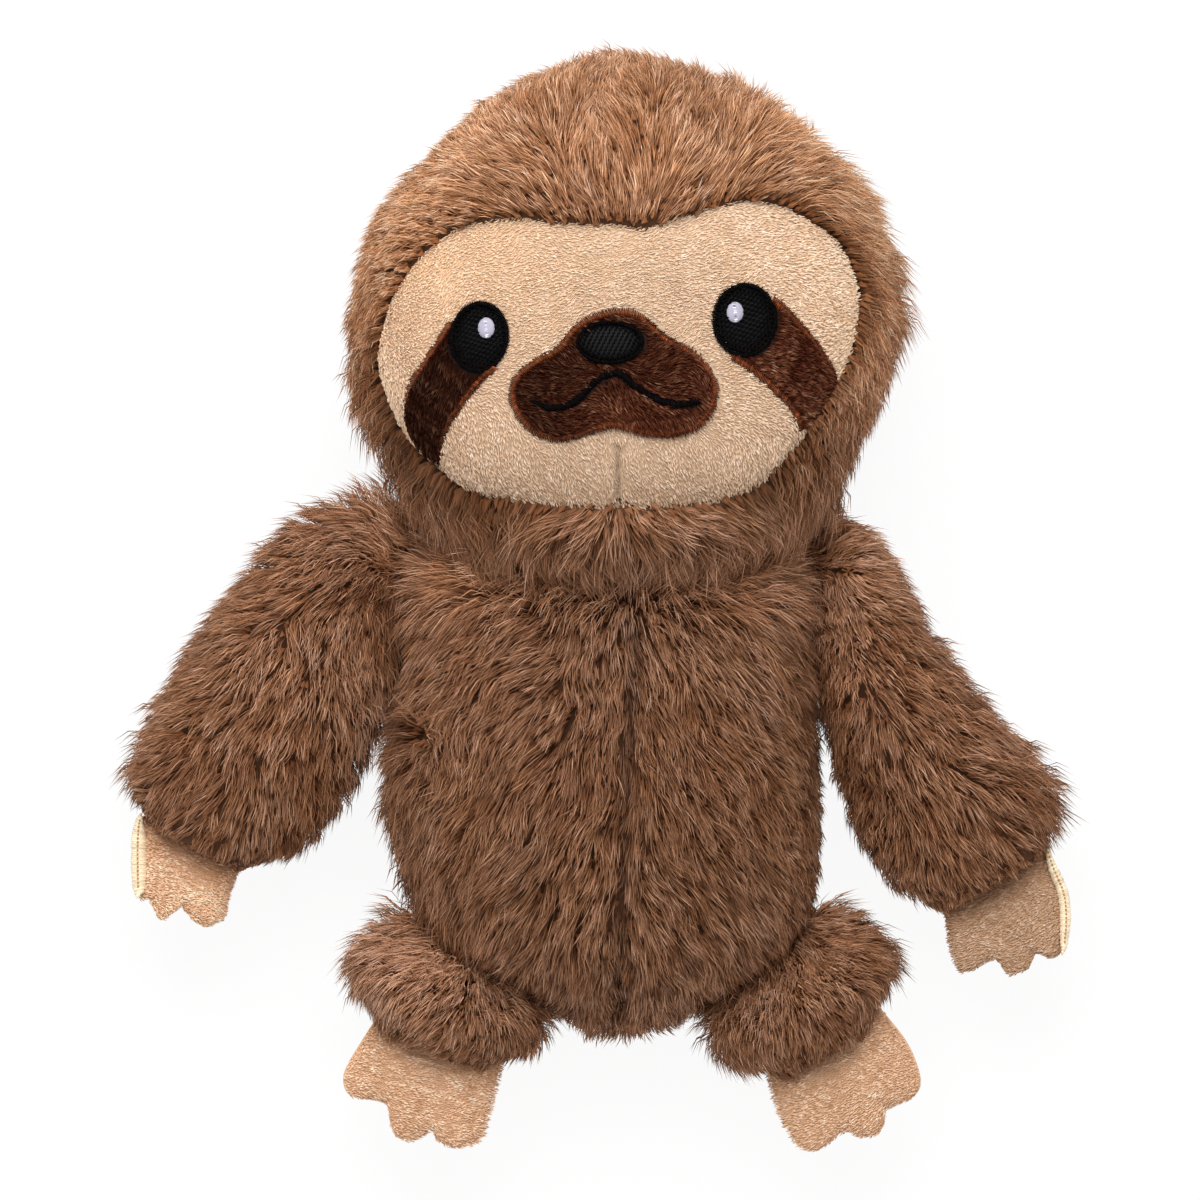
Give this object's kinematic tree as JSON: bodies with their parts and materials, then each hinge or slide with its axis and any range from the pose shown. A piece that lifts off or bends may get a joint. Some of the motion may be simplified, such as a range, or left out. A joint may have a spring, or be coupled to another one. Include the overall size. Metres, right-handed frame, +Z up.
{
  "type": "plush sloth toy",
  "caption": "Stuffed long-pile sloth toy lying on its back, with sewn limbs that swing at their seams, a short-pile face and flat clawed paws.",
  "frame": {"origin": "on the flat of the back, on the surface that the toy lies on, in the middle of its width", "axes": "+Z up out of the surface, the way the face looks; +Y towards the crown of the head; -X is the toy's own right side"},
  "size_m": [0.2791, 0.3259, 0.1124],
  "materials": {
    "fur": "matte",
    "velboa_beige": "matte",
    "velboa_brown": "matte",
    "thread_black": "satin",
    "thread_white": "satin",
    "thread_rust": "satin",
    "fill": "matte"
  },
  "bodies": {
    "torso": {"torso_front_left": "fur", "torso_front_right": "fur", "torso_back": "fur", "torso_fill": "fill"},
    "neck": {"neck_fill": "fill"},
    "head": {"hood_left": "fur", "hood_right": "fur", "face_panel": "velboa_beige", "head_fill": "fill", "muzzle_patch": "velboa_brown", "muzzle_border": "thread_rust", "nose": "thread_black", "mouth_line": "thread_black", "right_eye": "thread_black", "left_eye": "thread_black", "right_eye_glint": "thread_white", "left_eye_glint": "thread_white", "right_eye_patch": "velboa_brown", "left_eye_patch": "velboa_brown", "right_patch_border_upper": "thread_rust", "right_patch_border_lower": "thread_rust", "left_patch_border_upper": "thread_rust", "left_patch_border_lower": "thread_rust"},
    "right_arm": {"right_arm_front": "fur", "right_arm_back": "fur", "right_arm_fill": "fill"},
    "left_arm": {"left_arm_front": "fur", "left_arm_back": "fur", "left_arm_fill": "fill"},
    "right_hand": {"right_hand_front": "velboa_beige", "right_hand_back": "velboa_beige", "right_hand_pad": "fill"},
    "left_hand": {"left_hand_front": "velboa_beige", "left_hand_back": "velboa_beige", "left_hand_pad": "fill"},
    "right_leg": {"right_leg_front": "fur", "right_leg_back": "fur", "right_leg_fill": "fill"},
    "left_leg": {"left_leg_front": "fur", "left_leg_back": "fur", "left_leg_fill": "fill"},
    "right_foot": {"right_foot_front": "velboa_beige", "right_foot_back": "velboa_beige", "right_foot_pad": "fill"},
    "left_foot": {"left_foot_front": "velboa_beige", "left_foot_back": "velboa_beige", "left_foot_pad": "fill"}
  },
  "joints": [
    {"name": "head_turn", "type": "hinge", "parent": "torso", "child": "neck", "pos_m": [0, 0.07005, 0.032], "axis": [0, 1, 0], "range_deg": [-20, 20]},
    {"name": "head_nod", "type": "hinge", "parent": "neck", "child": "head", "pos_m": [0, 0.07605, 0.056], "axis": [1, 0, 0], "range_deg": [0, 12]},
    {"name": "right_shoulder", "type": "hinge", "parent": "torso", "child": "right_arm", "pos_m": [-0.0563, 0.04765, 0.04], "axis": [0.3772, 0.9261, 0], "range_deg": [-15, 50]},
    {"name": "left_shoulder", "type": "hinge", "parent": "torso", "child": "left_arm", "pos_m": [0.0557, 0.0496, 0.04], "axis": [0.4071, -0.9134, 0], "range_deg": [-15, 50]},
    {"name": "right_wrist", "type": "hinge", "parent": "right_arm", "child": "right_hand", "pos_m": [-0.12415, -0.02715, 0.04], "axis": [-0.8868, 0.4622, 0], "range_deg": [-45, 45]},
    {"name": "left_wrist", "type": "hinge", "parent": "left_arm", "child": "left_hand", "pos_m": [0.11737, -0.03779, 0.04], "axis": [-0.8627, -0.5057, 0], "range_deg": [-45, 45]},
    {"name": "right_hip", "type": "hinge", "parent": "torso", "child": "right_leg", "pos_m": [-0.0405, -0.05893, 0.038], "axis": [-0.7594, 0.6507, 0], "range_deg": [-15, 50]},
    {"name": "left_hip", "type": "hinge", "parent": "torso", "child": "left_leg", "pos_m": [0.05268, -0.05794, 0.038], "axis": [-0.6753, -0.7376, 0], "range_deg": [-15, 50]},
    {"name": "right_ankle", "type": "hinge", "parent": "right_leg", "child": "right_foot", "pos_m": [-0.05099, -0.08526, 0.038], "axis": [-0.9405, 0.3397, 0], "range_deg": [-35, 45]},
    {"name": "left_ankle", "type": "hinge", "parent": "left_leg", "child": "left_foot", "pos_m": [0.06653, -0.08593, 0.038], "axis": [-0.8547, -0.5191, 0], "range_deg": [-35, 45]}
  ]
}
